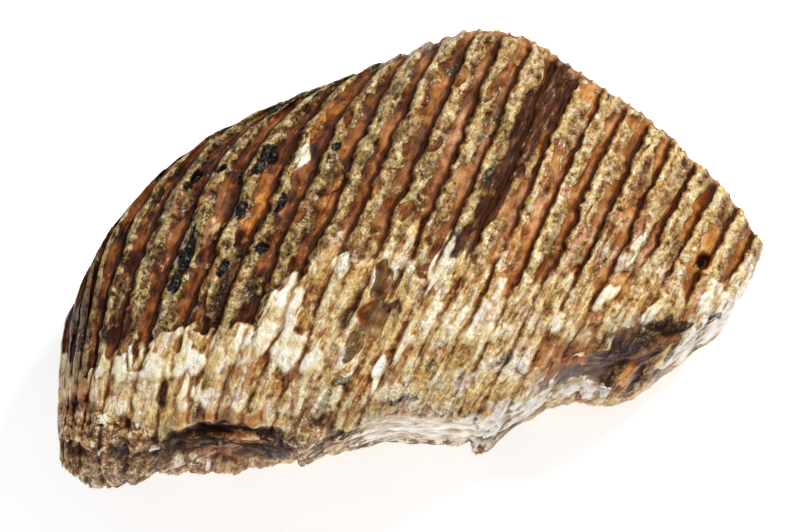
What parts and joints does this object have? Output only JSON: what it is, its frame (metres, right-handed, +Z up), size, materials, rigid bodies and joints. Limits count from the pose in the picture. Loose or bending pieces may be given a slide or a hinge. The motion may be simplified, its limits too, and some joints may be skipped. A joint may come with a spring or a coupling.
{
  "type": "fossil mammoth molar",
  "caption": "Fossil mammoth grinding tooth lying on one flank: a row of upright fused plates with ribbed flanks, a worn chewing face and a lumpy, hollowed root edge.",
  "frame": {"origin": "centre of the footprint, on the surface that the tooth rests on", "axes": "+X along the tooth from its rounded back to its worn front, +Y from the roots to the crown, +Z up through the two flanks"},
  "size_m": [0.2598, 0.1646, 0.0925],
  "materials": {
    "fossil_enamel_and_cement": "mineralised enamel, dentine and cement, stained brown and cream, with a soft waxed gloss"
  },
  "bodies": {
    "root": {"molar": "fossil_enamel_and_cement"}
  },
  "joints": []
}
